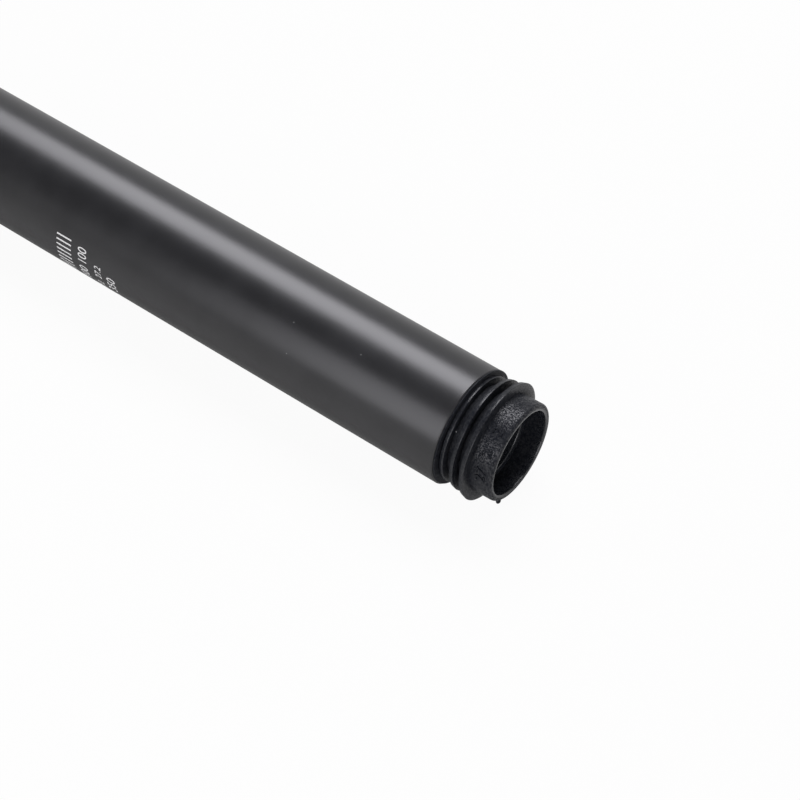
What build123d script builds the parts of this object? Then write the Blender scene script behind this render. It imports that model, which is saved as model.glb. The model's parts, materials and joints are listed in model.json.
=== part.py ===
from build123d import *
import os
from math import acos, asin, atan, atan2, cos, degrees, hypot, radians, sin, sqrt

# An alloy bicycle seatpost with a finned rubber end plug and a one-bolt saddle clamp set
# behind the tube. Millimetres. +X runs down the tube to its foot and +Z is up. The origin
# is on the tube's axis, at the minimum-insertion mark.
# The head is made with its back straight up, then rolled about the tube's axis until the
# corner of its clamp meets the floor that the tube lies on.

# Tube
tube_od = 27.2
tube_wall = 1.8
post_length = 350.0          # foot to the middle of the saddle rails, along the tube
head_height = 62.0           # top of the tube to the middle of the rails, along the tube
insertion_mark = 100.0       # foot to the minimum-insertion mark
tube_chamfer = 0.3

# Rubber plug, as stations along its own axis from the tube's foot
core_r = 10.7
fin_count = 3
fin_pitch = 2.8
flange_r = 13.45             # covers the tube's end
flange_thickness = 0.35
fin_start = 0.4              # the tube's foot to the first fin
fin_thickness = 1.1
first_fin_r = 12.25
fin_growth = 0.57            # each fin is this much larger than the one before
cup_r = 11.36
cup_end = 12.5
cup_bevel = 0.6              # outer edge of the rim
mouth_r = 9.77
ledge_at = 7.6
socket_r = 8.05
web_face = 1.3               # floor of the socket
web_thickness = 1.8
skirt_length = 10.5          # what is pushed up the tube
skirt_r = 10.2
barb_count = 1
barb_pitch = 4.0
barb_clearance = 0.05
plug_offset = 0.21           # the plug sits off the tube's axis, and leans the same way
plug_lean = 1.5
plug_lean_way = 25.0         # from +Y towards +Z, seen from the foot

# Head
setback = 30.0
seat_angle = 73.0            # between the tube and level rails
head_width = 32.0
head_wall = 8.0
trough_front = 72.0          # reach of the trough forwards and back, from straight under the rails
trough_back = 48.0
neck_at = 48.0               # where the neck meets the trough, forwards of straight under the rails
neck_bend_r = 30.0
neck_top_r = 10.0            # the neck tapers to this at the trough
head_lip_r = 2.0
spigot_length = 30.0
spigot_hole_r = 7.0
spigot_hole_depth = 24.0
spigot_chamfer = 1.0
bond_gap = 0.05

# Saddle clamp
rail_d = 7.0
rail_spacing = 44.0
rail_wall = 1.5              # metal outside each groove
rail_cover = 2.0             # metal over each groove
rail_floor = 5.0             # metal under each groove
clamp_length = 34.0
clamp_corner_r = 2.0
clamp_bevel = 0.5
split_gap = 2.0
belly_r = 18.0
seat_clearance = 0.1
wing_clearance = 0.5
crown_length = 24.0
crown_width = 28.0
crown_height = 4.5
crown_taper = 15.0
tilt_range = 15.0

# Fasteners
bolt_d = 8.0
bolt_head_d = 13.0
bolt_head_height = 8.0
bolt_key = 6.0
bolt_key_depth = 4.5
bolt_edge = 0.5
bolt_tip = 1.0               # stands this far out of the nut
bolt_hole_clearance = 0.5
thread_clearance = 0.05
washer_d = 16.0
washer_thickness = 1.6
washer_clearance = 0.2
saddle_washer_length = 15.0
saddle_washer_width = 18.0
saddle_washer_thickness = 5.0
pocket_margin = 2.0
pocket_clearance = 3.0
nut_d = 14.0
nut_length = 20.0
nut_centre = 12.0            # above the middle of the rails
nut_clearance = 0.05
nut_edge = 0.5

# Stations and radii that follow
tube_r = tube_od / 2
bore_r = tube_r - tube_wall
tube_length = post_length - head_height
foot_x = insertion_mark
tube_top_x = foot_x - tube_length
rail_x = foot_x - post_length
rail_r = rail_d / 2
trough_r = belly_r + seat_clearance
under_r = trough_r + head_wall
wing_inner = head_width / 2 + wing_clearance
clamp_half_width = rail_spacing / 2 + rail_r + rail_wall
plate_top = rail_r + rail_cover
bolt_hole_r = bolt_d / 2 + bolt_hole_clearance
saddle_washer_face = -(under_r + seat_clearance + saddle_washer_thickness)
bolt_seat = saddle_washer_face - washer_thickness
lean = 90.0 - seat_angle

# The rails' own frame: X backwards along them, Z up from them, origin midway between them
rail_frame = Plane(
    origin=(rail_x, 0, setback),
    x_dir=(-sin(radians(lean)), 0, cos(radians(lean))),
    z_dir=(-cos(radians(lean)), 0, -sin(radians(lean))),
)


def rest_roll():
    """The roll, in degrees, that brings the clamp's front corner down to the tube's floor."""
    front = setback - clamp_length / 2 * cos(radians(lean)) - plate_top * sin(radians(lean))
    across = clamp_half_width - clamp_corner_r
    back = front + clamp_corner_r
    return degrees(atan2(back, across) + asin((tube_r - clamp_corner_r) / hypot(across, back)))


def rolled(part):
    """A piece of the head or clamp, turned from back-up to how it lies."""
    return Rot(X=-rest_roll()) * part


def on_rails(part):
    """A piece made in the rails' frame, put in its place on the post."""
    return rolled(rail_frame.location * part)


def under_rails(angle, radius):
    """A point of the rails' frame, at an angle forwards of straight under the rails."""
    return Vector(-radius * sin(radians(angle)), 0, -radius * cos(radians(angle)))


def ring_sector(inner_r, outer_r, front, back, width):
    """A curved block about the rails' cross axis, between two angles from straight down."""
    outer = CenterArc((0, 0), outer_r, -90 - front, front + back)
    inner = CenterArc((0, 0), inner_r, -90 - front, front + back)
    sides = [Line(inner @ 0, outer @ 0), Line(inner @ 1, outer @ 1)]
    face = make_face([outer, inner] + sides)
    return extrude(Plane.XZ * face, width / 2, both=True)


def cross_cylinder(radius, length):
    """A cylinder lying across the rails."""
    return Rot(X=90) * Cylinder(radius, length)


def make_tube():
    """The straight tube, open at both ends."""
    solid = Cylinder(tube_r, tube_length) - Cylinder(bore_r, tube_length)
    foot_edges = solid.faces().sort_by(Axis.Z)[-1].edges()
    solid = chamfer(foot_edges, tube_chamfer)
    return Pos(X=(foot_x + tube_top_x) / 2) * Rot(Y=90) * solid


def make_plug_cup():
    """The part of the plug that shows: fins that grow outwards, and an open cup."""
    points = [(0, web_face - web_thickness), (core_r, web_face - web_thickness)]
    for index in range(fin_count):
        fin_r = first_fin_r + index * fin_growth
        start = fin_start + index * fin_pitch
        end = start + fin_thickness
        points += [(core_r, start), (fin_r, start), (fin_r, end), (core_r, end)]
    points[-1] = (cup_r, points[-1][1])
    points += [(cup_r, cup_end - cup_bevel), (cup_r - cup_bevel, cup_end)]
    points += [(mouth_r, cup_end), (mouth_r, ledge_at), (socket_r, ledge_at)]
    points += [(socket_r, web_face), (0, web_face)]
    section = make_face(Polyline([(r, 0, s) for r, s in points], close=True))
    return revolve(section, Axis.Z)


def make_plug_skirt():
    """The part of the plug up the tube: a hollow skirt with barbs that touch the bore."""
    barb_r = bore_r - barb_clearance
    points = [(socket_r, -skirt_length)]
    for index in range(barb_count):
        start = index * barb_pitch - skirt_length
        points += [(skirt_r, start), (barb_r, start + barb_pitch)]
    points += [(skirt_r, points[-1][1]), (skirt_r, 0), (socket_r, 0)]
    section = make_face(Polyline([(r, 0, s) for r, s in points], close=True))
    return revolve(section, Axis.Z)


def make_plug():
    """The rubber plug: skirt and flange are square to the tube, and the cup sits askew."""
    way = Vector(0, cos(radians(plug_lean_way)), sin(radians(plug_lean_way)))
    foot = Vector(foot_x, 0, 0)
    axis = Vector(1, 0, 0) * cos(radians(plug_lean)) + way * sin(radians(plug_lean))
    askew = Plane(origin=foot + way * plug_offset, z_dir=axis)
    offset = Plane(origin=foot + way * plug_offset, z_dir=(1, 0, 0))
    true = Plane(origin=foot, z_dir=(1, 0, 0))
    flange = Pos(Z=flange_thickness / 2) * Cylinder(flange_r, flange_thickness)
    plug = askew.location * make_plug_cup() + offset.location * flange
    return plug + true.location * make_plug_skirt()


def make_neck():
    """The neck: a bend that carries on from the tube, then a taper up to the trough."""
    top = rail_frame.from_local_coords(under_rails(neck_at, (trough_r + under_r) / 2))
    base = Vector(tube_top_x, 0, 0)
    centre = base + Vector(0, 0, neck_bend_r)
    reach = top - centre
    turn = atan2(-reach.X, -reach.Z) - acos(neck_bend_r / reach.length)
    foot = Plane(origin=base, z_dir=(-1, 0, 0)) * Circle(tube_r)
    bend = revolve(foot, Axis(centre, (0, 1, 0)), degrees(turn))
    along = Vector(-cos(turn), 0, sin(turn))
    length = sqrt(reach.length**2 - neck_bend_r**2)
    taper = Pos(Z=length / 2) * Cone(tube_r, neck_top_r, length)
    return bend + Plane(origin=top - along * length, z_dir=along).location * taper


def make_spigot():
    """The hollow spigot that is bonded into the top of the tube."""
    spigot = Cylinder(bore_r - bond_gap, spigot_length)
    spigot = chamfer(spigot.edges().sort_by(Axis.Z)[0], spigot_chamfer)
    hole_z = (spigot_hole_depth - spigot_length) / 2
    spigot -= Pos(Z=hole_z) * Cylinder(spigot_hole_r, spigot_hole_depth)
    return Pos(X=tube_top_x + spigot_length / 2) * Rot(Y=-90) * spigot


def make_head():
    """The one-piece head: spigot, neck, and the trough that the cradle rocks in."""
    wall = ring_sector(trough_r, under_r, trough_front, trough_back, head_width)
    wall = fillet(wall.edges().filter_by(Axis.Y), head_lip_r)
    bolt_sweep = tilt_range + degrees(asin(bolt_hole_r / trough_r))
    slot = ring_sector(trough_r / 2, under_r * 1.5, bolt_sweep, bolt_sweep, 2 * bolt_hole_r)
    washer_sweep = tilt_range + degrees(atan(saddle_washer_length / 2 / under_r)) + pocket_margin
    pocket_r = -bolt_seat + bolt_head_height + pocket_clearance
    pocket = ring_sector(under_r, pocket_r, washer_sweep, trough_back + pocket_margin, head_width * 2)
    head = make_neck() + make_spigot() + rail_frame.location * wall
    head -= rail_frame.location * slot
    head -= rail_frame.location * pocket
    return rolled(head)


def clamp_plate(bottom, top, inner=0.0):
    """A level slab of the clamp, with rounded corners; an inner half width leaves two wings."""
    outline = RectangleRounded(clamp_length, 2 * clamp_half_width, clamp_corner_r)
    if inner > 0:
        outline -= Rectangle(2 * clamp_length, 2 * inner)
    return extrude(Pos(Z=bottom) * outline, top - bottom)


def rail_grooves():
    """The two saddle rails' space, to be cut from the clamp's halves."""
    groove = Rot(Y=90) * Cylinder(rail_r, 2 * clamp_length)
    return [Pos(Y=side * rail_spacing / 2) * groove for side in (-1, 1)]


def make_lower_cradle():
    """The lower half of the clamp: a round belly in the trough, and a grooved wing each side."""
    belly_face = Plane.XZ * (Circle(belly_r) - Pos(Y=belly_r - split_gap / 2) * Rectangle(
        4 * belly_r, 2 * belly_r))
    belly = extrude(belly_face, wing_inner, both=True)
    cradle = belly + clamp_plate(-rail_r - rail_floor, -split_gap / 2, wing_inner)
    for groove in rail_grooves():
        cradle -= groove
    cradle -= Cylinder(bolt_hole_r, 4 * belly_r)
    return on_rails(cradle)


def make_upper_clamp():
    """The upper half of the clamp, crowned in the middle where the nut lies across it."""
    plate = clamp_plate(split_gap / 2, plate_top)
    plate = chamfer(plate.faces().sort_by(Axis.Z)[-1].edges(), clamp_bevel)
    crown_base = Pos(Z=plate_top - clamp_bevel) * Rectangle(crown_length, crown_width)
    crown = extrude(crown_base, crown_height + clamp_bevel, taper=crown_taper)
    clamp = plate + crown
    for groove in rail_grooves():
        clamp -= groove
    clamp -= Pos(Z=nut_centre) * cross_cylinder(nut_d / 2 + nut_clearance, 2 * crown_width)
    clamp -= Cylinder(bolt_hole_r, 4 * belly_r)
    return on_rails(clamp)


def make_bolt():
    """The socket-head clamp bolt, up through the head into the nut."""
    tip = nut_centre + nut_d / 2 + bolt_tip
    shank_length = tip - bolt_seat
    shank = Pos(Z=(tip + bolt_seat) / 2) * Cylinder(bolt_d / 2, shank_length)
    shank = chamfer(shank.edges().sort_by(Axis.Z)[-1], bolt_edge)
    head = Cylinder(bolt_head_d / 2, bolt_head_height)
    head = chamfer(head.edges().sort_by(Axis.Z)[0], bolt_edge)
    head = Pos(Z=bolt_seat - bolt_head_height / 2) * head
    key_r = bolt_key / 2 / cos(radians(30))
    key = extrude(Pos(Z=bolt_seat - bolt_head_height) * RegularPolygon(key_r, 6), bolt_key_depth)
    return on_rails(shank + head - key)


def make_bolt_washer():
    """The flat washer under the bolt's head."""
    middle = Pos(Z=bolt_seat + washer_thickness / 2)
    disc = Cylinder(washer_d / 2, washer_thickness)
    return on_rails(middle * (disc - Cylinder(bolt_d / 2 + washer_clearance, 2 * washer_thickness)))


def make_saddle_washer():
    """The hollow-topped washer that rides round the underside of the trough."""
    block = Rectangle(saddle_washer_length, saddle_washer_width)
    depth = saddle_washer_thickness + under_r / 2
    washer = extrude(Pos(Z=saddle_washer_face) * block, depth)
    washer -= cross_cylinder(under_r + seat_clearance, 2 * saddle_washer_width)
    washer -= Cylinder(bolt_hole_r, 4 * under_r)
    return on_rails(washer)


def make_barrel_nut():
    """The round cross nut, with its threaded hole left plain."""
    nut = cross_cylinder(nut_d / 2, nut_length)
    nut = chamfer(nut.edges().filter_by(GeomType.CIRCLE), nut_edge)
    nut -= Cylinder(bolt_d / 2 + thread_clearance, 2 * nut_d)
    return on_rails(Pos(Z=nut_centre) * nut)


nodes = {
    "post_tube": make_tube,
    "end_plug": make_plug,
    "post_head": make_head,
    "lower_cradle": make_lower_cradle,
    "upper_clamp": make_upper_clamp,
    "clamp_bolt": make_bolt,
    "bolt_washer": make_bolt_washer,
    "saddle_washer": make_saddle_washer,
    "barrel_nut": make_barrel_nut,
}

os.makedirs("parts", exist_ok=True)
for name, make in nodes.items():
    export_step(make(), f"parts/{name}.step")
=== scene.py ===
"""Studio scene of an alloy bicycle seatpost lying on a white floor.

The camera looks past the foot of the tube, where a finned rubber plug closes it. The printed
minimum-insertion mark lies across the origin of the frame, and +X runs down to the foot.
Every length is in metres, and every angle in degrees.
"""

from __future__ import annotations

import json
import logging
import math
from dataclasses import dataclass, field, replace
from enum import Enum
from typing import Any, Iterable, Sequence, Union

import bmesh
import bpy
from mathutils import Matrix, Vector

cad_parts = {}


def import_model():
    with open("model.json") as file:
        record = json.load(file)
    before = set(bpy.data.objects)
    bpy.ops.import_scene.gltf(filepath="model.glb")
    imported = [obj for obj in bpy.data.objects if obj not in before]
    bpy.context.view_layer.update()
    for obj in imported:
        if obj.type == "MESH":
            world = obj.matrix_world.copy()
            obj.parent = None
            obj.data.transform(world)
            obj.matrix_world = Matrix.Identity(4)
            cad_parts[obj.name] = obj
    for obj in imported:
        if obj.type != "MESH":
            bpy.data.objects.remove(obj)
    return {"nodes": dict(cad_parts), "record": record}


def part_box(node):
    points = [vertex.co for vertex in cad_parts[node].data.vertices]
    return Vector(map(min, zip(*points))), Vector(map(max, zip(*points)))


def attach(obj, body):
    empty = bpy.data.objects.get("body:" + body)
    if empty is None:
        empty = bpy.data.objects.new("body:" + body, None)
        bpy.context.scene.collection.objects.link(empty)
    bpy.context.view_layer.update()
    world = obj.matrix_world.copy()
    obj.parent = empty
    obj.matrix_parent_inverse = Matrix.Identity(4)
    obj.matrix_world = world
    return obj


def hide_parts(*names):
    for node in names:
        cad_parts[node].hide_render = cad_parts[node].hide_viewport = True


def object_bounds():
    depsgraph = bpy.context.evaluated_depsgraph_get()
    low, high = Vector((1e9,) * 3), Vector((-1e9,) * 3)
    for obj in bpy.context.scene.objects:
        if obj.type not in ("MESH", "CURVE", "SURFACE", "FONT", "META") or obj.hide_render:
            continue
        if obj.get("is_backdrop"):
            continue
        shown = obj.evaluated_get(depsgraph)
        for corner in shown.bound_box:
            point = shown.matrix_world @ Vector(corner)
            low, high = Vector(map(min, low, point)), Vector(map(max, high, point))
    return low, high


LOG = logging.getLogger("seatpost")

MM = 0.001
"""One millimetre, in metres."""

FIGURE_HEIGHT = 0.73
"""Height of a figure, as a share of the text's size."""

EDGE = "edge"
"""Name of the mark on points that lie on a moulding's sharp edges."""

IOR = 1.5
"""Index of refraction of anodising and of rubber."""

NEAR = 0.003 * MM
"""How far a point may be from a ring and still count as on it."""

ALL_SMOOTH = 180.0
"""Shading angle that leaves no edge sharp."""

Triple = tuple[float, float, float]
Colour = Triple
Span = tuple[float, float]
Operand = Union["Value", float, int]


class Body(Enum):
    """The two halves of the post that turn against each other."""

    POST = "post"
    CLAMP = "saddle_clamp"


class Slot(Enum):
    """Finishes that the part's record names."""

    TUBE = "anodised_tube"
    RUBBER = "black_rubber"
    FORGING = "anodised_forging"
    STEEL = "steel_fastener"


# Shader maths


class Value:
    """One output of a material's nodes, used in arithmetic as a number is."""

    def __init__(self, graph: Graph, socket: bpy.types.NodeSocket) -> None:
        """Keeps the socket and the graph that it belongs to.

        Args:
            graph: The graph that new nodes are added to.
            socket: The output that this value stands for.
        """
        self.graph = graph
        self.socket = socket

    def _math(self, operation: str, first: Operand, second: Operand = 0.0) -> Value:
        """Adds one Math node.

        Args:
            operation: Blender's name of the operation.
            first: The first operand.
            second: The second operand.

        Returns:
            The node's result.
        """
        return self.graph.node(
            "ShaderNodeMath", {"operation": operation}, {0: first, 1: second}
        )

    def __add__(self, other: Operand) -> Value:
        """Sum."""
        return self._math("ADD", self, other)

    __radd__ = __add__

    def __sub__(self, other: Operand) -> Value:
        """Difference."""
        return self._math("SUBTRACT", self, other)

    def __rsub__(self, other: Operand) -> Value:
        """Difference, this value taken from a number."""
        return self._math("SUBTRACT", other, self)

    def __mul__(self, other: Operand) -> Value:
        """Product."""
        return self._math("MULTIPLY", self, other)

    __rmul__ = __mul__

    def __lt__(self, other: Operand) -> Value:
        """1 where this value is below the other, else 0."""
        return self._math("LESS_THAN", self, other)

    def highest(self, other: Operand) -> Value:
        """The larger of two values."""
        return self._math("MAXIMUM", self, other)

    def ramp(self, low: float, high: float) -> Value:
        """Smooth step from 0 at low to 1 at high.

        Args:
            low: Where the step starts.
            high: Where it ends.

        Returns:
            The stepped value.
        """
        return self.graph.node(
            "ShaderNodeMapRange",
            {"interpolation_type": "SMOOTHSTEP"},
            {"Value": self, "From Min": low, "From Max": high},
        )


class Graph:
    """The nodes of one material, or of the world."""

    def __init__(self, owner: bpy.types.Material | bpy.types.World) -> None:
        """Empties the owner's node tree.

        Args:
            owner: The material or world that is given nodes.
        """
        owner.use_nodes = True
        self.tree = owner.node_tree
        self.tree.nodes.clear()

    def node(
        self,
        kind: str,
        settings: dict[str, Any] | None = None,
        inputs: dict[str | int, Any] | None = None,
        output: str | int = 0,
    ) -> Value:
        """Adds a node of any kind.

        Args:
            kind: The node's type.
            settings: Properties of the node, set before its sockets.
            inputs: Values or links of its sockets, by name or number.
            output: The output that is wanted, by name or number.

        Returns:
            The wanted output.
        """
        made = self.tree.nodes.new(kind)
        for name, setting in (settings or {}).items():
            setattr(made, name, setting)
        for key, given in (inputs or {}).items():
            if isinstance(given, Value):
                self.tree.links.new(given.socket, made.inputs[key])
            else:
                made.inputs[key].default_value = given
        return Value(self, made.outputs[output])

    def principled(self, inputs: dict[str | int, Any]) -> Value:
        """A Principled shader with the given sockets."""
        return self.node("ShaderNodeBsdfPrincipled", {}, inputs)

    def place(self) -> Value:
        """The point of the surface in the frame's own metres."""
        return self.node("ShaderNodeTexCoord", output="Object")

    def noise(self, place: Value, grain: float, detail: float = 2.0) -> Value:
        """Even noise, from 0 to 1.

        Args:
            place: Where on the surface it is read.
            grain: Width of one grain.
            detail: Octaves of finer noise.

        Returns:
            The noise's value.
        """
        return self.node(
            "ShaderNodeTexNoise",
            {},
            {"Vector": place, "Scale": 1.0 / grain, "Detail": detail},
        )

    def stretched(self, place: Value, scale: Sequence[float]) -> Value:
        """The same place with its axes scaled, for streaked patterns.

        Args:
            place: Where on the surface.
            scale: One factor per axis.

        Returns:
            The scaled place.
        """
        return self.node("ShaderNodeMapping", {}, {"Vector": place, "Scale": scale})

    def blend(self, share: Operand, low: Colour | Value, high: Colour | Value) -> Value:
        """Mixes two colours.

        Args:
            share: 0 gives low and 1 gives high.
            low: First colour.
            high: Second colour.

        Returns:
            The mixed colour.
        """
        ends = [(*c, 1.0) if isinstance(c, tuple) else c for c in (low, high)]
        settings = {"data_type": "RGBA"}
        return self.node("ShaderNodeMix", settings, {0: share, 6: ends[0], 7: ends[1]}, 2)

    def bump(self, height: Value, depth: float, under: Value | None = None) -> Value:
        """Small relief.

        Args:
            height: The relief, from 0 to 1.
            depth: How deep it is from 0 to 1.
            under: Relief that this one is laid over.

        Returns:
            The bumped normal.
        """
        inputs: dict[str | int, Any] = {"Height": height, "Distance": depth}
        if under is not None:
            inputs["Normal"] = under
        return self.node("ShaderNodeBump", {}, inputs)

    def specks(self, place: Value, specks: Iterable[Speck]) -> Value:
        """Mask of the grains of dust that lie on a surface.

        Args:
            place: Where on the surface.
            specks: The grains.

        Returns:
            1 on a grain and 0 beside it.
        """
        mask: Value | None = None
        for speck in specks:
            gap = self.node(
                "ShaderNodeVectorMath",
                {"operation": "DISTANCE"},
                {0: place, 1: speck.centre},
                "Value",
            )
            spot = gap < speck.radius
            mask = spot if mask is None else mask.highest(spot)
        assert mask is not None
        return mask

    def finish(self, shader: Value) -> None:
        """Joins the last shader to the output."""
        end = self.tree.nodes.new(
            "ShaderNodeOutputWorld"
            if isinstance(self.tree.id_data, bpy.types.World)
            else "ShaderNodeOutputMaterial"
        )
        self.tree.links.new(shader.socket, end.inputs["Surface"])


@dataclass(frozen=True)
class Speck:
    """One grain of dust."""

    centre: Triple
    radius: float


# Finishes


class Finish:
    """A finish that is made into a material."""

    def shader(self, graph: Graph) -> Value:
        """Lays out the finish, in each kind of finish."""
        raise NotImplementedError

    def build(self, name: str) -> bpy.types.Material:
        """Makes the material.

        Args:
            name: The material's name.

        Returns:
            The material.
        """
        material = bpy.data.materials.new(name)
        graph = Graph(material)
        graph.finish(self.shader(graph))
        return material


@dataclass(frozen=True)
class SatinAnodising(Finish):
    """Black anodising on drawn tube: satin, with a fine even grain and faint draw lines."""

    colour: Colour = (0.0135, 0.0135, 0.0147)
    pale: Colour = (0.0178, 0.0178, 0.0192)
    dust: Colour = (0.20, 0.20, 0.20)
    dust_roughness: float = 0.4
    roughness: float = 0.33
    roughness_swing: float = 0.05
    grain: float = 0.32 * MM
    grain_depth: float = 0.0036 * MM
    cloud: float = 9.0 * MM
    cloud_span: Span = (0.3, 0.7)
    line_pitch: float = 0.5 * MM
    line_depth: float = 0.0005 * MM
    line_length: float = 60.0
    specks: tuple[Speck, ...] = ()

    def shader(self, graph: Graph) -> Value:
        """Lays out the finish.

        Args:
            graph: The material's nodes.

        Returns:
            The finish's shader.
        """
        place = graph.place()
        grain = graph.noise(place, self.grain, 3.0)
        cloud = graph.noise(place, self.cloud)
        along = graph.stretched(place, (1.0 / self.line_length, 1.0, 1.0))
        lines = graph.noise(along, self.line_pitch, 1.0)
        colour = graph.blend(cloud.ramp(*self.cloud_span), self.colour, self.pale)
        roughness = cloud * self.roughness_swing + (self.roughness - self.roughness_swing / 2)
        if self.specks:
            dust = graph.specks(place, self.specks)
            colour = graph.blend(dust, colour, self.dust)
            roughness = roughness + dust * self.dust_roughness
        relief = graph.bump(grain, self.grain_depth, graph.bump(lines, self.line_depth))
        return graph.principled(
            {"Base Color": colour, "Roughness": roughness, "IOR": IOR, "Normal": relief}
        )


@dataclass(frozen=True)
class BlastedAnodising(Finish):
    """Black anodising on a bead-blasted forging: duller than the tube, and softly pitted."""

    colour: Colour = (0.0180, 0.0180, 0.0190)
    pale: Colour = (0.0280, 0.0280, 0.0290)
    roughness: float = 0.46
    roughness_swing: float = 0.08
    pits: float = 0.28 * MM
    pit_depth: float = 0.012 * MM
    cloud: float = 6.0 * MM
    cloud_span: Span = (0.35, 0.7)

    def shader(self, graph: Graph) -> Value:
        """Lays out the finish.

        Args:
            graph: The material's nodes.

        Returns:
            The finish's shader.
        """
        place = graph.place()
        pits = graph.noise(place, self.pits, 3.0)
        cloud = graph.noise(place, self.cloud, 3.0)
        return graph.principled(
            {
                "Base Color": graph.blend(cloud.ramp(*self.cloud_span), self.colour, self.pale),
                "Roughness": pits * self.roughness_swing + self.roughness,
                "IOR": IOR,
                "Normal": graph.bump(pits, self.pit_depth),
            }
        )


@dataclass(frozen=True)
class MouldedRubber(Finish):
    """Black rubber: dull, but sleek on marked edges and on the grains of its cup.

    The cup is all that lies past cup_start, a place along the frame's X.
    """

    cup_start: float
    cup_blur: float = 0.2 * MM
    colour: Colour = (0.0070, 0.0082, 0.0115)
    pale: Colour = (0.0215, 0.0226, 0.0256)
    dust: Colour = (0.40, 0.40, 0.40)
    dull_gloss: float = 0.08
    dull_roughness: float = 0.50
    sleek_gloss: float = 0.50
    sleek_roughness: float = 0.20
    grain_share: float = 0.62
    grain_span: Span = (0.44, 0.60)
    pale_span: Span = (0.40, 0.60)
    mottle_share: float = 0.4
    mottle: float = 0.9 * MM
    mottle_depth: float = 0.085 * MM
    grain: float = 0.34 * MM
    grain_depth: float = 0.095 * MM
    specks: tuple[Speck, ...] = ()

    def shader(self, graph: Graph) -> Value:
        """Lays out the finish.

        Args:
            graph: The material's nodes.

        Returns:
            The finish's shader.
        """
        place = graph.place()
        mottle = graph.noise(place, self.mottle, 3.0)
        grain = graph.noise(place, self.grain, 2.0)
        edge = graph.node("ShaderNodeAttribute", {"attribute_name": EDGE}, output="Fac")
        station = graph.node("ShaderNodeSeparateXYZ", {}, {"Vector": place}, "X")
        cup = station.ramp(self.cup_start - self.cup_blur, self.cup_start + self.cup_blur)
        glint = cup * grain.ramp(*self.grain_span) * self.grain_share
        sleek = glint.highest(edge)
        mixed = mottle * self.mottle_share + grain * (1.0 - self.mottle_share)
        colour = graph.blend(mixed.ramp(*self.pale_span), self.colour, self.pale)
        if self.specks:
            colour = graph.blend(graph.specks(place, self.specks), colour, self.dust)
        plain = 1.0 - edge
        relief = graph.bump(mottle * plain, self.mottle_depth)
        relief = graph.bump(grain * plain, self.grain_depth, relief)
        skins = [
            graph.principled(
                {
                    "Base Color": colour,
                    "Roughness": roughness,
                    "IOR": IOR,
                    "Specular IOR Level": gloss,
                    "Normal": relief,
                }
            )
            for gloss, roughness in (
                (self.dull_gloss, self.dull_roughness),
                (self.sleek_gloss, self.sleek_roughness),
            )
        ]
        return graph.node("ShaderNodeMixShader", {}, {0: sleek, 1: skins[0], 2: skins[1]})


@dataclass(frozen=True)
class PlainSteel(Finish):
    """Plain stainless steel, with fine turning marks and slightly dulled."""

    colour: Colour = (0.44, 0.43, 0.42)
    dull: Colour = (0.34, 0.33, 0.33)
    roughness: float = 0.28
    roughness_swing: float = 0.14
    cloud: float = 3.0 * MM
    cloud_span: Span = (0.3, 0.7)
    marks: float = 0.12 * MM
    mark_depth: float = 0.003 * MM

    def shader(self, graph: Graph) -> Value:
        """Lays out the finish.

        Args:
            graph: The material's nodes.

        Returns:
            The finish's shader.
        """
        place = graph.place()
        cloud = graph.noise(place, self.cloud, 4.0)
        marks = graph.noise(place, self.marks, 2.0)
        return graph.principled(
            {
                "Base Color": graph.blend(cloud.ramp(*self.cloud_span), self.colour, self.dull),
                "Roughness": cloud * self.roughness_swing + self.roughness,
                "Metallic": 1.0,
                "Normal": graph.bump(marks, self.mark_depth),
            }
        )


@dataclass(frozen=True)
class PadInk(Finish):
    """White pad-printed ink, a little uneven in cover."""

    colour: Colour = (0.80, 0.80, 0.79)
    thin: Colour = (0.62, 0.62, 0.62)
    roughness: float = 0.5
    blot: float = 0.25 * MM
    blot_span: Span = (0.5, 0.8)
    film: float = 0.004 * MM

    def shader(self, graph: Graph) -> Value:
        """Lays out the finish.

        Args:
            graph: The material's nodes.

        Returns:
            The finish's shader.
        """
        blots = graph.noise(graph.place(), self.blot, 2.0)
        return graph.principled(
            {
                "Base Color": graph.blend(blots.ramp(*self.blot_span), self.colour, self.thin),
                "Roughness": self.roughness,
                "Normal": graph.bump(blots, self.film),
            }
        )


# Modelling steps


@dataclass(frozen=True)
class Ring:
    """One station of a turned piece."""

    radius: float
    station: float


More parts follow.
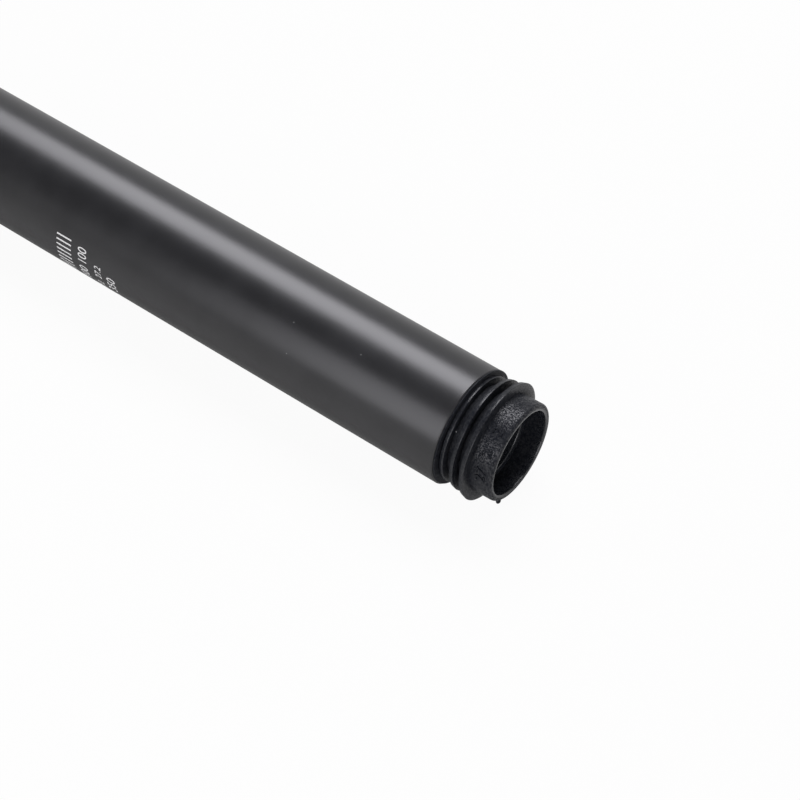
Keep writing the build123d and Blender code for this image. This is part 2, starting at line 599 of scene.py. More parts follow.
class Bench:
    """Modelling steps done as by hand, on one piece at a time."""

    @staticmethod
    def pick(piece: bpy.types.Object) -> None:
        """Makes a piece the only one selected, and the active one."""
        bpy.ops.object.select_all(action="DESELECT")
        piece.select_set(True)
        bpy.context.view_layer.objects.active = piece

    @staticmethod
    def open_all() -> None:
        """Enters edit mode with all of the active piece selected."""
        bpy.ops.object.mode_set(mode="EDIT")
        bpy.ops.mesh.select_all(action="SELECT")

    @staticmethod
    def turned(name: str, rings: Sequence[Ring], sides: int) -> bpy.types.Object:
        """Turns a closed piece about Z by extruding a circle from ring to ring.

        Both ends are drawn to a point on the axis, unless the last ring is the first again.

        Args:
            name: The piece's name.
            rings: Its stations, from one end to the other.
            sides: Faces round the piece.

        Returns:
            The piece, at the origin.
        """
        bpy.ops.object.select_all(action="DESELECT")
        first, last = rings[0], rings[-1]
        bpy.ops.mesh.primitive_circle_add(vertices=sides, radius=first.radius)
        piece = bpy.context.object
        piece.name = name
        Bench.open_all()
        bpy.ops.transform.translate(value=(0.0, 0.0, first.station))
        if first != last:
            bpy.ops.mesh.extrude_region_move()
            bpy.ops.mesh.merge(type="CENTER")
            Bench.select_ring(piece, first)
        for before, after in zip(rings, rings[1:]):
            step = (0.0, 0.0, after.station - before.station)
            bpy.ops.mesh.extrude_region_move(TRANSFORM_OT_translate={"value": step})
            growth = after.radius / before.radius
            bpy.ops.transform.resize(
                value=(growth, growth, 1.0), center_override=(0.0, 0.0, after.station)
            )
        if first != last:
            bpy.ops.mesh.extrude_region_move()
            bpy.ops.mesh.merge(type="CENTER")
        bpy.ops.mesh.select_all(action="SELECT")
        bpy.ops.mesh.remove_doubles(threshold=0.0005 * MM)
        bpy.ops.mesh.normals_make_consistent(inside=False)
        bpy.ops.object.mode_set(mode="OBJECT")
        return piece

    @staticmethod
    def select_ring(piece: bpy.types.Object, *rings: Ring) -> None:
        """Selects the edges round a turned piece at the given rings, in edit mode.

        Args:
            piece: The piece.
            rings: The rings whose edges are wanted.
        """
        bpy.ops.mesh.select_all(action="DESELECT")
        bpy.ops.mesh.select_mode(type="EDGE")
        mesh = bmesh.from_edit_mesh(piece.data)
        for edge in mesh.edges:
            for ring in rings:
                edge.select = edge.select or all(
                    abs(v.co.z - ring.station) < NEAR
                    and abs(math.hypot(v.co.x, v.co.y) - ring.radius) < NEAR
                    for v in edge.verts
                )
        mesh.select_flush(True)
        bmesh.update_edit_mesh(piece.data)

    @staticmethod
    def round_rings(
        piece: bpy.types.Object, width: float, segments: int, *rings: Ring
    ) -> None:
        """Rounds a turned piece's edges at the given rings.

        Args:
            piece: The piece.
            width: Width of the rounding.
            segments: Faces across it.
            rings: The rings whose edges are rounded.
        """
        Bench.pick(piece)
        bpy.ops.object.mode_set(mode="EDIT")
        Bench.select_ring(piece, *rings)
        bpy.ops.mesh.bevel(offset=width, segments=segments, affect="EDGES")
        bpy.ops.object.mode_set(mode="OBJECT")

    @staticmethod
    def mark(piece: bpy.types.Object, name: str, value: float) -> None:
        """Marks a piece's selected points for its material.

        Args:
            piece: The piece.
            name: The mark's name.
            value: What the points are marked with.
        """
        marks = piece.data.attributes
        mark = marks.get(name) or marks.new(name, "FLOAT", "POINT")
        for vertex in piece.data.vertices:
            if vertex.select:
                mark.data[vertex.index].value = value

    @staticmethod
    def apply(piece: bpy.types.Object, kind: str, **settings: Any) -> None:
        """Adds a modifier and applies it.

        Args:
            piece: The piece.
            kind: The modifier's type.
            settings: Its properties.
        """
        Bench.pick(piece)
        modifier = piece.modifiers.new(kind.title(), kind)
        for name, setting in settings.items():
            setattr(modifier, name, setting)
        bpy.ops.object.modifier_apply(modifier=modifier.name)

    @staticmethod
    def put(piece: bpy.types.Object, place: Matrix) -> None:
        """Moves a piece to its place and keeps the place in its mesh."""
        Bench.pick(piece)
        piece.matrix_world = place
        bpy.ops.object.transform_apply(location=True, rotation=True, scale=True)

    @staticmethod
    def join(name: str, pieces: Sequence[bpy.types.Object]) -> bpy.types.Object:
        """Joins pieces into one.

        Args:
            name: The joined piece's name.
            pieces: What is joined.

        Returns:
            The joined piece.
        """
        Bench.pick(pieces[0])
        for piece in pieces:
            piece.select_set(True)
        bpy.ops.object.join()
        pieces[0].name = name
        return pieces[0]

    @staticmethod
    def smooth(piece: bpy.types.Object, angle: float = 30.0) -> None:
        """Shades a piece smooth, save where its faces meet more sharply than the angle."""
        Bench.pick(piece)
        bpy.ops.object.shade_smooth_by_angle(angle=math.radians(angle))

    @staticmethod
    def copy_node(node: bpy.types.Object, name: str) -> bpy.types.Object:
        """Copies a solid of the frame as a piece of its own, with its seams merged.

        Args:
            node: The solid's object.
            name: The copy's name.

        Returns:
            The copy.
        """
        Bench.pick(node)
        bpy.ops.object.duplicate()
        piece = bpy.context.object
        piece.name = name
        piece.data.name = name
        for key in list(piece.keys()):
            del piece[key]
        piece.parent = None
        Bench.open_all()
        bpy.ops.mesh.remove_doubles(threshold=0.001 * MM)
        bpy.ops.mesh.normals_make_consistent(inside=False)
        bpy.ops.object.mode_set(mode="OBJECT")
        return piece

    @staticmethod
    def figures(text: str, height: float, narrowing: float, align: str) -> bpy.types.Object:
        """Flat figures in the XY plane, reading along X, as a mesh fine enough to bend.

        Args:
            text: The figures.
            height: Height of a figure.
            narrowing: Width of a figure, as a share of the usual one.
            align: Which end of the row is at the origin.

        Returns:
            The figures.
        """
        bpy.ops.object.select_all(action="DESELECT")
        bpy.ops.object.text_add()
        row = bpy.context.object
        row.data.body = text
        row.data.align_x = align
        row.data.align_y = "CENTER"
        bpy.ops.object.convert(target="MESH")
        piece = bpy.context.object
        Bench.open_all()
        bpy.ops.mesh.remove_doubles(threshold=0.0002)
        bpy.ops.mesh.subdivide(number_cuts=2)
        bpy.ops.object.mode_set(mode="OBJECT")
        size = height / FIGURE_HEIGHT
        Bench.put(piece, Matrix.Diagonal((size * narrowing, size, size, 1.0)))
        return piece

    @staticmethod
    def wrap(piece: bpy.types.Object, radius: float, thickness: float) -> None:
        """Gives a flat piece its thickness and bends it round a cylinder about Z.

        Its X ends up round the cylinder and its Y along Z. The origin goes to where the
        cylinder meets -Y, and the piece faces outwards there.

        Args:
            piece: The flat piece.
            radius: The cylinder's radius.
            thickness: How far the piece stands proud.
        """
        Bench.apply(piece, "SOLIDIFY", thickness=thickness, offset=1.0)
        Bench.put(piece, Matrix.Rotation(math.radians(90.0), 4, "X"))
        xs = [vertex.co.x for vertex in piece.data.vertices]
        angle = (max(xs) - min(xs)) / radius
        Bench.apply(piece, "SIMPLE_DEFORM", deform_method="BEND", deform_axis="Z", angle=angle)
        Bench.put(piece, Matrix.Translation((0.0, -radius, 0.0)))

    @staticmethod
    def finish(
        piece: bpy.types.Object,
        material: bpy.types.Material,
        body: Body,
        slot: Slot,
        *nodes: str,
    ) -> bpy.types.Object:
        """Dresses a piece and hangs it on its body.

        Args:
            piece: The piece, in its place.
            material: Its material.
            body: The body that it rides on.
            slot: Not used.
            nodes: Solids of the frame that it stands for.

        Returns:
            The piece.
        """
        piece.data.materials.clear()
        piece.data.materials.append(material)
        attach(piece, body.value)
        if nodes:
            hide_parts(*nodes)
        LOG.info("%s: %d faces", piece.name, len(piece.data.polygons))
        return piece


def along_post(station: float) -> Matrix:
    """The frame of pieces turned about the tube's axis.

    Its Z runs down the tube and its X along the part's Y, so angles go from +Y towards +Z.

    Args:
        station: Its origin's place along the tube.

    Returns:
        The frame's matrix.
    """
    turn = Matrix(((0.0, 0.0, 1.0), (1.0, 0.0, 0.0), (0.0, 1.0, 0.0)))
    return Matrix.Translation((station, 0.0, 0.0)) @ turn.to_4x4()


def on_round(angle: float, station: float) -> Matrix:
    """Where a wrapped piece goes on a turned one, with its top towards the saddle.

    Args:
        angle: Direction of the piece's origin from the axis.
        station: Its place along the axis.

    Returns:
        The matrix that takes it there, in the turned piece's frame.
    """
    flip = Matrix.Rotation(math.radians(180.0), 4, "X")
    return (
        Matrix.Translation((0.0, 0.0, station))
        @ Matrix.Rotation(math.radians(angle - 90.0), 4, "Z")
        @ flip
    )


def speck_at(radius: float, angle: float, station: float, size: float) -> Speck:
    """A grain of dust on a round surface about the tube's axis.

    Args:
        radius: The surface's radius.
        angle: Direction of the grain from the axis.
        station: Its place along the axis.
        size: The grain's own radius.

    Returns:
        The grain.
    """
    turn = math.radians(angle)
    return Speck((station, radius * math.cos(turn), radius * math.sin(turn)), size)


# Pieces


@dataclass
class PostTube:
    """The drawn tube."""

    radius: float
    foot: float
    top: float
    wall: float = 1.8 * MM
    chamfer: float = 0.25 * MM
    burnish: float = 0.05 * MM
    dust: tuple[tuple[float, float], ...] = ((59.0, 120.8), (60.5, 148.8), (76.0, 115.8))
    dust_size: float = 0.11 * MM
    sides: int = 288

    def specks(self) -> tuple[Speck, ...]:
        """The grains of dust on the tube, from their stations in mm and their angles."""
        return tuple(
            speck_at(self.radius, angle, station * MM, self.dust_size)
            for station, angle in self.dust
        )

    def build(self, finish: SatinAnodising) -> bpy.types.Object:
        """Makes the tube.

        Args:
            finish: Its finish.

        Returns:
            The dressed tube.
        """
        bore = self.radius - self.wall
        face = Ring(self.radius - self.chamfer, 0.0)
        corner = Ring(self.radius, -self.chamfer)
        end = self.top - self.foot
        start = Ring(bore, 0.0)
        rings = [start, face, corner, Ring(self.radius, end), Ring(bore, end), start]
        tube = Bench.turned("satin_tube", rings, self.sides)
        Bench.round_rings(tube, self.burnish, 2, face, corner)
        Bench.smooth(tube)
        Bench.put(tube, along_post(self.foot))
        material = replace(finish, specks=self.specks()).build("satin_anodising")
        return Bench.finish(tube, material, Body.POST, Slot.TUBE, "post_tube")


@dataclass(frozen=True)
class PrintedRow:
    """One row of printed figures, placed by its last figure."""

    name: str
    text: str
    height: float
    station: float
    end_angle: float


@dataclass
class InsertionMark:
    """The white print that shows how far the post must go into the frame."""

    radius: float
    centre_angle: float = 213.8
    bar_start: float = -3.5 * MM
    bar_end: float = 0.75 * MM
    bar_width: float = 0.40 * MM
    bar_pitch: float = 5.8
    bar_count: int = 19
    ink: float = 0.012 * MM
    narrowing: float = 0.88
    rows: tuple[PrintedRow, ...] = (
        PrintedRow("depth_figures", "100 100 100 100", 2.57 * MM, 4.15 * MM, 161.8),
        PrintedRow("width_figures", "27.2  27.2", 1.90 * MM, 8.55 * MM, 173.4),
        PrintedRow("length_figures", "350  350", 2.57 * MM, 12.30 * MM, 179.8),
    )

    def build(self, finish: PadInk) -> list[bpy.types.Object]:
        """Makes the bars and the rows of figures.

        Args:
            finish: The ink.

        Returns:
            The dressed pieces.
        """
        ink = finish.build("pad_ink")
        pieces = [self.make_bars()] + [self.make_row(row) for row in self.rows]
        return [Bench.finish(piece, ink, Body.POST, Slot.TUBE) for piece in pieces]

    def make_bars(self) -> bpy.types.Object:
        """Models one bar and copies it round the tube.

        Returns:
            All the bars as one piece.
        """
        bpy.ops.object.select_all(action="DESELECT")
        bpy.ops.mesh.primitive_plane_add(size=1.0)
        bar = bpy.context.object
        length = self.bar_end - self.bar_start
        Bench.open_all()
        bpy.ops.transform.resize(value=(self.bar_width, length, 1.0), center_override=(0, 0, 0))
        bpy.ops.mesh.subdivide(number_cuts=3)
        bpy.ops.object.mode_set(mode="OBJECT")
        Bench.wrap(bar, self.radius, self.ink)
        middle = (self.bar_start + self.bar_end) / 2
        first = self.centre_angle - (self.bar_count - 1) / 2 * self.bar_pitch
        bars = []
        for index in range(self.bar_count):
            Bench.pick(bar)
            bpy.ops.object.duplicate()
            copy = bpy.context.object
            Bench.put(copy, along_post(0.0) @ on_round(first + index * self.bar_pitch, middle))
            bars.append(copy)
        bpy.data.objects.remove(bar)
        return Bench.join("insertion_bars", bars)

    def make_row(self, row: PrintedRow) -> bpy.types.Object:
        """Makes one row of figures.

        Args:
            row: The row.

        Returns:
            The row as one piece.
        """
        piece = Bench.figures(row.text, row.height, self.narrowing, "RIGHT")
        piece.name = row.name
        Bench.wrap(piece, self.radius, self.ink)
        Bench.put(piece, along_post(0.0) @ on_round(row.end_angle, row.station))
        return piece


@dataclass(frozen=True)
class Fin:
    """One fin of the plug: where it starts and ends, and its radius at both."""

    start: float
    end: float
    low: float
    high: float


@dataclass
class EndPlug:
    """The rubber plug in the tube's foot, as stations along its own axis from the foot.

    Each grain of dust has a radius in mm, an angle and a station in mm.
    """

    foot: float
    bore: float
    core: float = 10.7 * MM
    fins: tuple[Fin, ...] = (
        Fin(0.47 * MM, 1.38 * MM, 12.22 * MM, 12.39 * MM),
        Fin(3.23 * MM, 4.22 * MM, 12.74 * MM, 13.00 * MM),
        Fin(6.07 * MM, 7.19 * MM, 13.38 * MM, 13.73 * MM),
    )
    flank: float = 0.12 * MM
    cup: float = 11.36 * MM
    rim: float = 12.5 * MM
    mouth: float = 9.79 * MM
    ledge: float = 7.57 * MM
    socket: float = 8.06 * MM
    floor: float = 1.3 * MM
    web: float = 1.8 * MM
    skirt: float = 10.2 * MM
    skirt_end: float = -10.5 * MM
    barb: float = 4.0 * MM
    barb_gap: float = 0.05 * MM
    collar: float = 0.1 * MM
    skirt_start: float = -0.3 * MM
    true_end: float = -0.4 * MM
    cup_edge: float = 0.8 * MM
    mouth_edge: float = 0.35 * MM
    fin_low_edge: float = 0.10 * MM
    fin_high_edge: float = 0.16 * MM
    fin_sleekness: float = 0.6
    flange: float = 13.45 * MM
    flange_start: float = 0.01 * MM
    flange_end: float = 0.36 * MM
    flange_edge: float = 0.12 * MM
    flange_lap: float = 0.5 * MM
    offset: float = 0.21 * MM
    lean: float = 1.5
    lean_way: float = 25.0
    size_figures: tuple[tuple[str, float], ...] = (
        ("2", 170.7),
        ("7", 162.3),
        ("2", 140.7),
        ("2", 114.0),
    )
    size_height: float = 2.45 * MM
    size_station: float = 10.05 * MM
    size_relief: float = 0.27 * MM
    size_root: float = 0.15 * MM
    size_grid: float = 0.05 * MM
    nub: float = 0.66 * MM
    nub_angle: float = 232.0
    nub_shape: Triple = (1.25, 1.0, 0.75)
    nub_tear: float = 0.12
    nub_sunk: float = 0.05 * MM
    nub_from_rim: float = 0.52 * MM
    dust: tuple[Triple, ...] = (
        (10.7, 135.0, 1.7),
        (13.45, 173.0, 0.1),
        (13.65, 156.5, 7.1),
    )
    dust_size: float = 0.16 * MM
    sides: int = 224

    def foot_frame(self) -> Matrix:
        """The foot's frame, turned so that its X is the way that the cup leans."""
        return along_post(self.foot) @ Matrix.Rotation(math.radians(self.lean_way), 4, "Z")

    def shifted_frame(self) -> Matrix:
        """The foot's frame, moved off the tube's axis."""
        return self.foot_frame() @ Matrix.Translation((self.offset, 0, 0))

    def frame(self) -> Matrix:
        """The cup's own frame, off the tube's axis and leaning."""
        return self.shifted_frame() @ Matrix.Rotation(math.radians(self.lean), 4, "Y")

    def rings(self) -> list[Ring]:
        """The plug's outline, from the floor of its socket round to the back of its web."""
        found = [
            Ring(self.socket, self.floor),
            Ring(self.socket, self.ledge),
            Ring(self.mouth, self.ledge),
            Ring(self.mouth, self.rim),
            Ring(self.cup, self.rim),
        ]
        for index, fin in enumerate(reversed(self.fins)):
            root = self.cup if index == 0 else self.core
            found += [
                Ring(root, fin.end + self.flank),
                Ring(fin.high, fin.end),
                Ring(fin.low, fin.start),
                Ring(self.core, fin.start - self.flank),
            ]
        found += [
            Ring(self.core, self.collar),
            Ring(self.skirt, self.skirt_start),
            Ring(self.skirt, self.skirt_end + self.barb),
            Ring(self.bore - self.barb_gap, self.skirt_end + self.barb),
            Ring(self.skirt, self.skirt_end),
            Ring(self.socket, self.skirt_end),
            Ring(self.socket, self.floor - self.web),
        ]
        return found

    def build(self, finish: MouldedRubber) -> list[bpy.types.Object]:
        """Makes the plug and what is moulded on it.

        Args:
            finish: Its finish.

        Returns:
            The dressed pieces.
        """
        specks = tuple(
            speck_at(radius * MM, angle, self.foot + station * MM, self.dust_size)
            for radius, angle, station in self.dust
        )
        rubber = replace(finish, specks=specks).build("moulded_rubber")
        plug = Bench.turned("rubber_plug", self.rings(), self.sides)
        Bench.round_rings(plug, self.cup_edge, 6, Ring(self.cup, self.rim))
        for radius, station in ((self.mouth, self.rim), (self.socket, self.ledge)):
            Bench.round_rings(plug, self.mouth_edge, 4, Ring(radius, station))
            Bench.mark(plug, EDGE, 1.0)
        for fin in self.fins:
            Bench.round_rings(plug, self.fin_low_edge, 3, Ring(fin.low, fin.start))
            Bench.round_rings(plug, self.fin_high_edge, 4, Ring(fin.high, fin.end))
            Bench.mark(plug, EDGE, self.fin_sleekness)
        self.lean_cup(plug)
        Bench.put(plug, self.foot_frame())
        plug = Bench.join("rubber_plug", [plug, self.make_flange()])
        Bench.smooth(plug, 40.0)
        Bench.finish(plug, rubber, Body.POST, Slot.RUBBER, "end_plug")
        plain = replace(finish, grain_share=0.0).build("plain_rubber")
        size = Bench.finish(self.make_size(), plain, Body.POST, Slot.RUBBER)
        nub = Bench.finish(self.make_nub(), rubber, Body.POST, Slot.RUBBER)
        return [plug, size, nub]

    def make_flange(self) -> bpy.types.Object:
        """Makes the thin flange that covers the tube's end, square to the tube.

        Returns:
            The flange.
        """
        top = Ring(self.flange, self.flange_end)
        bottom = Ring(self.flange, self.flange_start)
        inner = self.core - self.flange_lap
        start = Ring(inner, self.flange_start)
        rings = [start, Ring(inner, self.flange_end), top, bottom, start]
        flange = Bench.turned("flange", rings, self.sides)
        Bench.round_rings(flange, self.flange_edge, 3, top, bottom)
        Bench.put(flange, self.shifted_frame())
        return flange

    def make_size(self) -> bpy.types.Object:
        """Makes the raised size figures on the cup, one by one round it.

        Returns:
            The figures as one piece.
        """
        figures = []
        for figure, angle in self.size_figures:
            piece = Bench.figures(figure, self.size_height, 1.0, "CENTER")
            Bench.wrap(piece, self.cup - self.size_root, self.size_relief + self.size_root)
            Bench.apply(piece, "REMESH", mode="VOXEL", voxel_size=self.size_grid)
            Bench.apply(piece, "SMOOTH", factor=0.5, iterations=3)
            Bench.smooth(piece, ALL_SMOOTH)
            turn = angle - self.lean_way
            Bench.put(piece, self.frame() @ on_round(turn, self.size_station))
            figures.append(piece)
        return Bench.join("moulded_size", figures)

    def make_nub(self) -> bpy.types.Object:
        """Makes the torn stub of the moulding gate, low on the rim.

        Returns:
            The stub.
        """
        bpy.ops.object.select_all(action="DESELECT")
        bpy.ops.mesh.primitive_ico_sphere_add(subdivisions=3, radius=self.nub)
        nub = bpy.context.object
        nub.name = "gate_stub"
        Bench.open_all()
        bpy.ops.transform.resize(value=self.nub_shape, center_override=(0, 0, 0))
        bpy.ops.transform.vertex_random(offset=self.nub * self.nub_tear, seed=4)
        bpy.ops.mesh.vertices_smooth(factor=0.3, repeat=1)
        bpy.ops.object.mode_set(mode="OBJECT")
        spin = Matrix.Rotation(math.radians(self.nub_angle - self.lean_way), 4, "Z")
        reach = (self.cup - self.nub_sunk, 0.0, self.rim - self.nub_from_rim)
        Bench.put(nub, self.frame() @ spin @ Matrix.Translation(reach))
        Bench.smooth(nub, 50.0)
        return nub

    def lean_cup(self, plug: bpy.types.Object) -> None:
        """Sets what shows of the plug off the tube's axis, while its skirt stays true."""
        Bench.pick(plug)
        shift = Matrix.Translation((self.offset, 0.0, 0.0))
        turn = shift @ Matrix.Rotation(math.radians(self.lean), 4, "Y")
        for vertex in plug.data.vertices:
            if vertex.co.z > self.true_end:
                vertex.co = turn @ vertex.co


@dataclass(frozen=True)
class Forging:
    """A forged or sawn solid of the frame, given softly broken edges."""

    node: str
    name: str
    body: Body
    slot: Slot
    depth: int
    softening: int
    kept: float = 1.0

    def build(
        self, solid: bpy.types.Object, material: bpy.types.Material, rails: Matrix
    ) -> bpy.types.Object:
        """Remeshes a copy of the solid evenly and softens its edges.

        Args:
            solid: The solid's object.
            material: Its material.
            rails: The rails' frame, which its flat faces follow.

        Returns:
            The dressed piece.
        """
        piece = Bench.copy_node(solid, self.name)
        Bench.put(piece, rails.inverted())
        Bench.apply(piece, "REMESH", mode="SHARP", octree_depth=self.depth, scale=0.99)
        Bench.apply(piece, "SMOOTH", factor=0.5, iterations=self.softening)
        if self.kept < 1.0:
            Bench.apply(piece, "DECIMATE", ratio=self.kept)
        Bench.put(piece, rails)
        Bench.smooth(piece, ALL_SMOOTH)
        return Bench.finish(piece, material, self.body, self.slot, self.node)


@dataclass
class Fasteners:
    """The clamp bolt and its washer, turned in the rails' own frame.

    Stations run up from the middle of the rails, away from the post.
    """

    rails: Matrix
    seat: float = -32.8 * MM
    head: float = 6.5 * MM
    head_height: float = 8.0 * MM
    head_edge: float = 0.7 * MM
    shank: float = 4.0 * MM
    root: float = 3.45 * MM
    pitch: float = 1.25 * MM
    thread_start: float = 2.0 * MM
    root_span: Span = (0.45, 0.55)
    tip: float = 20.0 * MM
    tip_edge: float = 0.6 * MM
    key: float = 3.46 * MM
    key_depth: float = 4.5 * MM
    washer: float = 8.0 * MM
    washer_hole: float = 4.2 * MM
    washer_height: float = 1.6 * MM
    washer_edge: float = 0.25 * MM
    sides: int = 96

    def build(self, steel: bpy.types.Material) -> list[bpy.types.Object]:
        """Makes the bolt and its washer.

        Args:
            steel: Their material.

        Returns:
            The dressed pieces.
        """
        bolt, washer = self.make_bolt(), self.make_washer()
        Bench.finish(bolt, steel, Body.CLAMP, Slot.STEEL, "clamp_bolt")
        Bench.finish(washer, steel, Body.CLAMP, Slot.STEEL, "bolt_washer")
        return [bolt, washer]

    def make_bolt(self) -> bpy.types.Object:
        """Makes the socket-head bolt, with rings for a thread where the nut takes it.

        Returns:
            The bolt.
        """
        under = self.seat - self.head_height
        rings = [Ring(self.head, under), Ring(self.head, self.seat), Ring(self.shank, self.seat)]
        station = self.thread_start
        while station + self.pitch < self.tip - self.tip_edge:
            rings.append(Ring(self.shank, station))
            rings += [Ring(self.root, station + share * self.pitch) for share in self.root_span]
            station += self.pitch
        rings += [Ring(self.shank, station), Ring(self.shank, self.tip - self.tip_edge)]
        rings += [Ring(self.shank - self.tip_edge, self.tip)]
        bolt = Bench.turned("threaded_bolt", rings, self.sides)
        Bench.round_rings(bolt, self.head_edge, 4, rings[0])
        Bench.round_rings(bolt, self.head_edge / 3, 2, rings[1])
        bpy.ops.object.select_all(action="DESELECT")
        bpy.ops.mesh.primitive_cylinder_add(
            vertices=6, radius=self.key, depth=2 * self.key_depth, location=(0.0, 0.0, under)
        )
        key = bpy.context.object
        Bench.apply(bolt, "BOOLEAN", operation="DIFFERENCE", object=key, solver="EXACT")
        bpy.data.objects.remove(key)
        Bench.smooth(bolt)
        Bench.put(bolt, self.rails)
        return bolt

    def make_washer(self) -> bpy.types.Object:
        """Makes the flat washer, with its edges broken.

        Returns:
            The washer.
        """
        top = self.seat + self.washer_height
        start = Ring(self.washer_hole, self.seat)
        outer = Ring(self.washer, self.seat), Ring(self.washer, top)
        rings = [start, *outer, Ring(self.washer_hole, top), start]
        washer = Bench.turned("flat_washer", rings, self.sides)
        Bench.round_rings(washer, self.washer_edge, 3, *outer)
        Bench.smooth(washer)
        Bench.put(washer, self.rails)
        return washer


FORGINGS = (
    Forging("post_head", "forged_head", Body.POST, Slot.FORGING, 8, 3, 0.3),
    Forging("lower_cradle", "rocking_cradle", Body.CLAMP, Slot.FORGING, 7, 3),
    Forging("upper_clamp", "crowned_clamp", Body.CLAMP, Slot.FORGING, 7, 3),
    Forging("saddle_washer", "curved_washer", Body.CLAMP, Slot.STEEL, 6, 2),
    Forging("barrel_nut", "cross_nut", Body.CLAMP, Slot.STEEL, 6, 2),
)


def rails_frame(record: dict[str, Any]) -> Matrix:
    """The saddle rails' frame: X back along them, Z up from them, between the two.

    Args:
        record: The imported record.

    Returns:
        The frame's matrix.
    """
    joint = record["behaviour"]["joints"][0]
    rail = next(mount for mount in record["mounts"] if mount["kind"] == "clamp")
    along, across = Vector(rail["axis"]), Vector(joint["axis"])
    turn = Matrix((along, across, along.cross(across))).transposed()
    return Matrix.Translation(joint["pos_m"]) @ turn.to_4x4()


# Studio


@dataclass(frozen=True)
class Softbox:
    """A rectangular lamp that faces a point of the tube's axis."""

    name: str
    aim: float
    direction: Triple
    distance: float
    width: float
    height: float
    power: float
    tint: Colour = (1.0, 0.992, 1.045)

    def build(self) -> bpy.types.Object:
        """Makes the lamp.

        Returns:
            The lamp.
        """
        lamp = bpy.data.lights.new(self.name, "AREA")
        lamp.shape = "RECTANGLE"
        lamp.size = self.width
        lamp.size_y = self.height
        lamp.energy = self.power
        lamp.color = self.tint
        light = bpy.data.objects.new(self.name, lamp)
        bpy.context.scene.collection.objects.link(light)
        away = Vector(self.direction).normalized()
        light.location = Vector((self.aim, 0.0, 0.0)) + away * self.distance
        across = Vector((1.0, 0.0, 0.0))
        across = (across - away * across.dot(away)).normalized()
        upright = away.cross(across)
        turn = Matrix((across, upright, away)).transposed()
        light.rotation_euler = turn.to_euler()
        return light


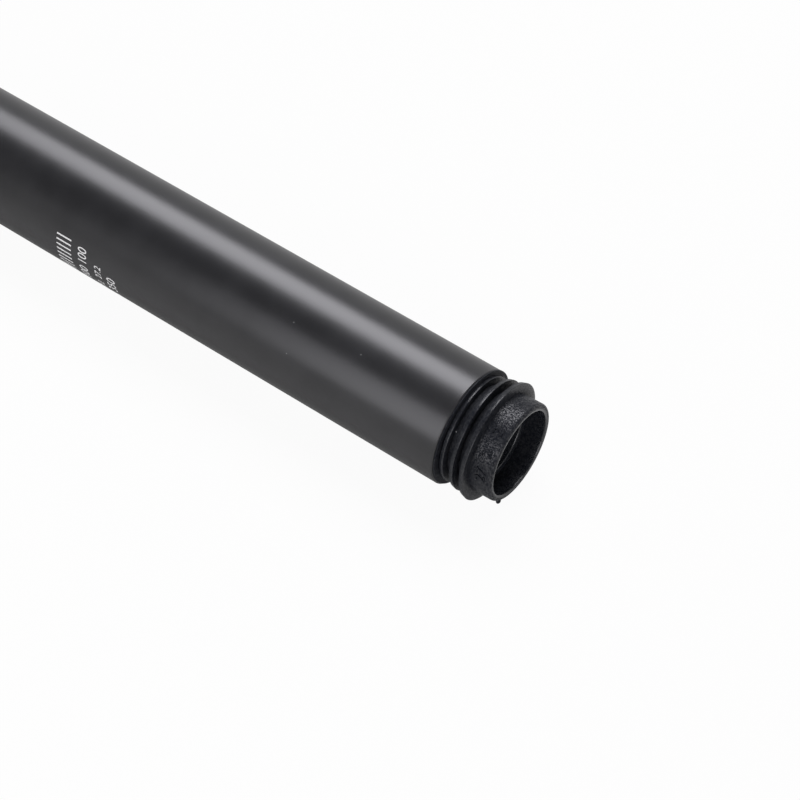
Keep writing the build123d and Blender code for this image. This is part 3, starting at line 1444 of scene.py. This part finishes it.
@dataclass
class Studio:
    """White floor and walls, a dark ceiling, the lamps and the camera.

    The wall in front, where the photographer stands, is a share of the others' brightness.
    """

    floor_height: float
    eye: Vector = field(default_factory=lambda: Vector((0.273687, -0.257007, 0.393706)))
    heading: float = 36.76
    pitch: float = 51.14
    lens: float = 107.68
    sensor: float = 36.0
    nearest: float = 0.01
    floor_size: float = 8.0
    floor_glow: float = 0.95
    floor_mirrored: float = 0.20
    paper: Colour = (0.565, 0.560, 0.540)
    wall: float = 0.93
    front_wall: float = 0.70
    wall_blur: float = 0.3
    ceiling: float = 0.10
    wall_top: float = 0.30
    ceiling_start: float = 0.62
    softboxes: tuple[Softbox, ...] = (
        Softbox("rear_softbox", 0.05, (-0.20, 0.477, 0.860), 1.2, 1.0, 0.70, 18.0),
        Softbox("foot_softbox", 0.10, (0.75, -0.62, 0.25), 1.0, 0.50, 0.50, 3.0),
        Softbox("near_reflector", 0.09, (-0.06, -0.84, 0.47), 0.40, 0.19, 0.30, 0.63),
    )

    def build(self) -> None:
        """Makes the studio and sets the camera."""
        self.make_floor()
        self.make_world()
        for softbox in self.softboxes:
            softbox.build()
        self.make_camera()
        bpy.context.scene.view_settings.view_transform = "Standard"

    def make_floor(self) -> bpy.types.Object:
        """Makes the floor, which looks white and keeps a faint shadow.

        Returns:
            The floor.
        """
        bpy.ops.object.select_all(action="DESELECT")
        bpy.ops.mesh.primitive_plane_add(size=self.floor_size)
        floor = bpy.context.object
        floor.name = "studio_floor"
        Bench.put(floor, Matrix.Translation((0.0, 0.0, self.floor_height)))
        material = bpy.data.materials.new("white_floor")
        graph = Graph(material)
        paper = graph.node("ShaderNodeBsdfDiffuse", {}, {"Color": (*self.paper, 1.0)})
        glow = graph.node("ShaderNodeEmission", {}, {"Strength": 1.0})
        seen = graph.node("ShaderNodeLightPath", output="Is Camera Ray") * self.floor_glow
        for ray in ("Is Glossy Ray", "Is Transmission Ray"):
            mirrored = graph.node("ShaderNodeLightPath", output=ray) * self.floor_mirrored
            seen = seen.highest(mirrored)
        shader = graph.node("ShaderNodeMixShader", {}, {0: seen, 1: paper, 2: glow})
        graph.finish(shader)
        floor.data.materials.append(material)
        floor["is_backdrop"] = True
        return floor

    def make_world(self) -> None:
        """Makes the white walls, which fade to a dark ceiling."""
        world = bpy.data.worlds.new("studio")
        bpy.context.scene.world = world
        graph = Graph(world)
        place = graph.node("ShaderNodeTexCoord", output="Generated")
        height = graph.node("ShaderNodeSeparateXYZ", {}, {"Vector": place}, "Z")
        behind = graph.node("ShaderNodeSeparateXYZ", {}, {"Vector": place}, "Y")
        side = behind.ramp(-self.wall_blur, self.wall_blur) * (1.0 - self.front_wall)
        side = side + self.front_wall
        share = height.ramp(self.wall_top, self.ceiling_start)
        strength = (share * (self.ceiling - self.wall) + self.wall) * side
        graph.finish(graph.node("ShaderNodeBackground", {}, {"Strength": strength}))

    def make_camera(self) -> bpy.types.Object:
        """Sets the camera at the photograph's place.

        Returns:
            The camera.
        """
        data = bpy.data.cameras.new("camera")
        data.lens = self.lens
        data.sensor_width = self.sensor
        data.clip_start = self.nearest
        camera = bpy.data.objects.new("camera", data)
        bpy.context.scene.collection.objects.link(camera)
        camera.location = self.eye
        turns = (90.0 - self.pitch, 0.0, self.heading)
        camera.rotation_euler = [math.radians(turn) for turn in turns]
        bpy.context.scene.camera = camera
        return camera


def main() -> None:
    """Builds the scene in order and reports each piece."""
    logging.basicConfig(level=logging.INFO, format="%(name)s: %(message)s")
    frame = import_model()
    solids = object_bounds()
    mounts = {mount["name"]: mount for mount in frame["record"]["mounts"]}
    radius = mounts["seat_tube"]["dims"]["r_mm"] * MM
    top, foot = (corner.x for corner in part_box("post_tube"))
    tube = PostTube(radius, foot, top)
    plug = EndPlug(foot, radius - tube.wall)
    Studio(solids[0].z).build()
    tube.build(SatinAnodising())
    InsertionMark(radius).build(PadInk())
    plug.build(MouldedRubber(foot + plug.fins[-1].end))
    forged = BlastedAnodising().build("blasted_anodising")
    steel = PlainSteel().build("plain_steel")
    finishes = {Slot.FORGING: forged, Slot.STEEL: steel}
    rails = rails_frame(frame["record"])
    for piece in FORGINGS:
        piece.build(frame["nodes"][piece.node], finishes[piece.slot], rails)
    Fasteners(rails).build(steel)


if __name__ == "__main__":
    main()
